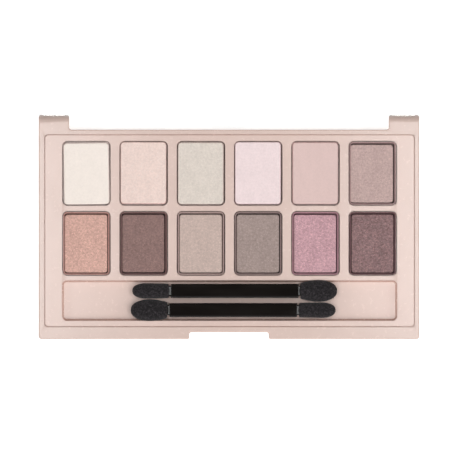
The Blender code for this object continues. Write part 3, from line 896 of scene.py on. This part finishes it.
def tip_profile(size):
    """A tip that swells from its neck and ends bluntly: (distance, half-width, half-height) in order."""
    neck, belly, belly_place = TIPS[size]
    flatness = TIP_HALF_THICKNESS / belly
    start = TIP_START - TIP_OVERLAP
    profile = [(start, 0, 0), (start, neck * 0.8, neck * 0.7)]
    profile.append((start + 0.8 * TIP_EDGE, neck * 0.97, neck * 0.85))
    for step in range(1, TIP_STEPS + 1):
        share = step / TIP_STEPS
        half_width = neck + (belly - neck) * math.sin(share * math.pi / 2)
        flattened = half_width * (1 + (flatness - 1) * min(1, share * TIP_FLATTENING))
        distance = start + TIP_EDGE + TIP_LENGTH * belly_place * share
        profile.append((distance, half_width, min(flattened, TIP_HALF_THICKNESS)))
    round_start = profile[-1][0]
    round_length = TIP_START + TIP_LENGTH - round_start
    for step in range(1, TIP_STEPS + 1):
        turn = step / TIP_STEPS * math.pi / 2
        half_width = belly * math.cos(turn) ** TIP_BLUNTNESS if step < TIP_STEPS else 0
        profile.append((round_start + round_length * math.sin(turn), half_width, half_width * flatness))
    return profile


def make_tip(which, size, centre, direction, mat):
    """A foam tip with a slightly lumpy skin."""
    bm = bmesh.new()
    add_turned(bm, tip_profile(size), centre, direction)
    for vert in bm.verts:
        at = vert.co / MM
        lump = noise.noise(at * 1.6) * 0.03 * MM + noise.noise(at * 5.0) * 0.018 * MM
        vert.co += (vert.co - centre).normalized() * lump
    name = f"{which}_{size}_sponge"
    tip = new_object(name, to_mesh(bm, name))
    smooth(tip, degrees=70, weighted=False)
    finish_piece(tip, mat, f"applicator_{which}", f"applicator_{which}_{size}_tip")


def make_applicators():
    """Two double-ended applicators, head to tail."""
    gloss = handle_material()
    foam = foam_material()
    for which, wide_direction in (("rear", 1), ("front", -1)):
        low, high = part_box(f"applicator_{which}_handle")
        centre = (low + high) / 2
        make_handle(which, centre, gloss)
        make_tip(which, "wide", centre, wide_direction, foam)
        make_tip(which, "narrow", centre, -wide_direction, foam)


# Lid


def lid_outline(inset):
    """The closed lid's outline, moved inwards by inset."""
    low = (BASE_LOW.x, BASE_LOW.y)
    high = (BASE_HIGH.x, LID_REAR)
    return rectangle(low, high, LID_CORNER, inset)


def lid_skin():
    """The plate and its skirt, open underneath."""
    bm = bmesh.new()
    ceiling = LID_TOP - LID_PLATE
    sections = [
        (lid_outline(LID_WALL + LID_FILLET), ceiling),
        (lid_outline(LID_WALL), ceiling - LID_FILLET),
        (lid_outline(LID_WALL), LID_BOTTOM + LID_EDGE),
        (lid_outline(LID_WALL - LID_EDGE), LID_BOTTOM),
        (lid_outline(LID_EDGE), LID_BOTTOM),
        (lid_outline(0), LID_BOTTOM + LID_EDGE),
    ]
    sections += [(lid_outline(inset), LID_TOP - drop) for inset, drop in round_over(LID_ROUND)]
    add_loft(bm, sections)
    return bm


def hinge_web():
    """The web that comes down behind the base, and the barrel between the ears."""
    bm = bmesh.new()
    barrel = arc(HINGE.y, HINGE.z, BARREL_RADIUS, *BARREL_ARC, steps=40)
    inside_wall = LID_REAR - LID_WALL / 2
    top = LID_TOP - LID_ROUND
    rear = LID_REAR + WEB_STEP
    web = [(rear, top), (inside_wall, top), (inside_wall, WEB_UNDERSIDE), (rear, WEB_UNDERSIDE)]
    add_extrusion_x(bm, web + barrel, -BARREL_HALF_WIDTH, BARREL_HALF_WIDTH)
    return bm


def trunnions():
    """The round stub at each end of the barrel."""
    bm = bmesh.new()
    stub = circle(HINGE.y, HINGE.z, TRUNNION_RADIUS)
    add_extrusion_x(bm, stub, BARREL_HALF_WIDTH - PAST, TRUNNION_END)
    add_extrusion_x(bm, stub, -TRUNNION_END, PAST - BARREL_HALF_WIDTH)
    return bm


def latch_tongue():
    """The tongue that hangs in the thumb notch, with its bead."""
    bm = bmesh.new()
    inner = NOTCH_BACK - TONGUE_GAP
    outer = inner - TONGUE_THICKNESS
    top = LID_TOP - LID_PLATE / 2
    bead = arc(inner, (CATCH_BOTTOM + CATCH_TOP) / 2, BEAD_RADIUS, -90, 90, steps=12)
    outline = [(outer, TONGUE_BOTTOM), (inner, TONGUE_BOTTOM)] + bead + [(inner, top), (outer, top)]
    add_extrusion_x(bm, outline, -TONGUE_HALF_WIDTH, TONGUE_HALF_WIDTH)
    return bm


def make_lid():
    """The clear lid, made closed and then turned open about the hinge."""
    lid = new_object("clear_lid", to_mesh(lid_skin(), "clear_lid"))
    combine(lid, [("UNION", hinge_web()), ("UNION", trunnions()), ("UNION", latch_tongue())])
    opened = Matrix.Translation(HINGE) @ Matrix.Rotation(-math.pi / 2, 4, "X") @ Matrix.Translation(-HINGE)
    lid.data.transform(opened)
    smooth(lid)
    finish_piece(lid, lid_material(), "lid", "lid")


def make_label():
    """The paper label under the base."""
    bm = bmesh.new()
    low, high = LABEL_LOW.z, LABEL_HIGH.z
    side = rectangle(LABEL_LOW, LABEL_HIGH, LABEL_CORNER)
    face = rectangle(LABEL_LOW, LABEL_HIGH, LABEL_CORNER, LABEL_EDGE)
    add_loft(bm, [(face, low), (side, low + LABEL_EDGE), (side, high - LABEL_EDGE), (face, high)])
    label = new_object("bottom_label", to_mesh(bm, "bottom_label"))
    smooth(label)
    finish_piece(label, label_material(), "base", "underside_label")


# Stage, lights and camera

VIEW_WIDTH = 152.77 * MM  # what the camera takes in
VIEW_CENTRE = (0.0, -0.63 * MM)
CAMERA_HEIGHT = 0.2
FLOOR_HALF_SIZE = 4.0
FLOOR_DROP = 0.1 * MM  # below the base
GLOW_NEAR, GLOW_FAR = 0.65, 0.12  # the floor's own light under the palette and far from it
GLOW_START, GLOW_END = 0.06, 0.17  # how far from the middle its fading starts and ends
WORLD_BRIGHT_WAY = (0.0, -0.7, -0.5)  # to the front and below
WORLD_REACH = 0.6  # how far that way, and against it, the world goes on changing
WORLD_DIM, WORLD_BRIGHT = 0.04, 0.5


def floor_material():
    """White, glowing most round the palette, and open to a view from below."""
    nodes = Nodes("white_floor", 1.0, specular=0.0)
    nodes.shader.inputs["Base Color"].default_value = (0.9, 0.9, 0.9, 1)
    nodes.shader.inputs["Emission Color"].default_value = WHITE
    away = nodes.add("ShaderNodeVectorMath", operation="LENGTH")
    nodes.link(nodes.place, away.inputs[0])
    glow = nodes.spread(away.outputs["Value"], GLOW_NEAR, GLOW_FAR, GLOW_START, GLOW_END, "SMOOTHSTEP")
    nodes.link(glow, nodes.shader.inputs["Emission Strength"])
    seen_from_below = nodes.add("ShaderNodeNewGeometry").outputs["Backfacing"]
    open_way = nodes.add("ShaderNodeBsdfTransparent").outputs["BSDF"]
    nodes.mix_shaders(seen_from_below, nodes.shader.outputs["BSDF"], open_way)
    return nodes.mat


def make_floor():
    """A white floor just under the base."""
    bm = bmesh.new()
    bmesh.ops.create_grid(bm, x_segments=1, y_segments=1, size=FLOOR_HALF_SIZE)
    floor = new_object("floor", to_mesh(bm, "floor"))
    floor.location.z = -FLOOR_DROP
    floor.data.materials.append(floor_material())


def add_softbox(name, place, size, power):
    """A rectangular area light that faces the palette."""
    light = bpy.data.lights.new(name, "AREA")
    light.shape = "RECTANGLE"
    light.size, light.size_y = size
    light.energy = power
    obj = bpy.data.objects.new(name, light)
    obj.location = place
    obj.rotation_euler = (-Vector(place)).to_track_quat("-Z", "Y").to_euler()
    bpy.context.scene.collection.objects.link(obj)


def make_lights():
    """A softbox in front, strips at both sides, and small lights that sheen the margins."""
    add_softbox("key_softbox", place=(0.08, -0.22, 0.42), size=(0.5, 0.24), power=1.04)
    for side in (-1, 1):
        add_softbox("side_strip", place=(side * 0.3, 0.0, 0.2), size=(0.2, 0.06), power=0.18)
        add_softbox("sheen_light", place=(side * 0.074, 0.0, 0.3), size=(0.12, 0.04), power=0.18)


def make_world():
    """A white world, brightest to the front and below and dim behind."""
    world = bpy.data.worlds.new("studio")
    world.use_nodes = True
    bpy.context.scene.world = world
    tree = world.node_tree
    place = tree.nodes.new("ShaderNodeTexCoord")
    lean = tree.nodes.new("ShaderNodeVectorMath")
    lean.operation = "DOT_PRODUCT"
    lean.inputs[1].default_value = WORLD_BRIGHT_WAY
    spread = tree.nodes.new("ShaderNodeMapRange")
    spread.inputs["From Min"].default_value = -WORLD_REACH
    spread.inputs["From Max"].default_value = WORLD_REACH
    spread.inputs["To Min"].default_value = WORLD_DIM
    spread.inputs["To Max"].default_value = WORLD_BRIGHT
    tree.links.new(place.outputs["Generated"], lean.inputs[0])
    tree.links.new(lean.outputs["Value"], spread.inputs["Value"])
    tree.links.new(spread.outputs["Result"], tree.nodes["Background"].inputs["Strength"])
    tree.nodes["Background"].inputs["Color"].default_value = WHITE


def make_camera():
    """A camera straight above, without perspective."""
    camera = bpy.data.cameras.new("camera")
    camera.type = "ORTHO"
    camera.ortho_scale = VIEW_WIDTH
    camera.clip_start = 0.01
    obj = bpy.data.objects.new("camera", camera)
    obj.location = (*VIEW_CENTRE, CAMERA_HEIGHT)
    bpy.context.scene.collection.objects.link(obj)
    bpy.context.scene.camera = obj
    bpy.context.scene.view_settings.view_transform = "Standard"


make_camera()
make_floor()
make_lights()
make_world()
make_shell()
make_deck()
for shade in SHADES:
    make_pan(shade)
    make_cake(shade)
make_applicators()
make_lid()
make_label()

bpy.context.view_layer.update()
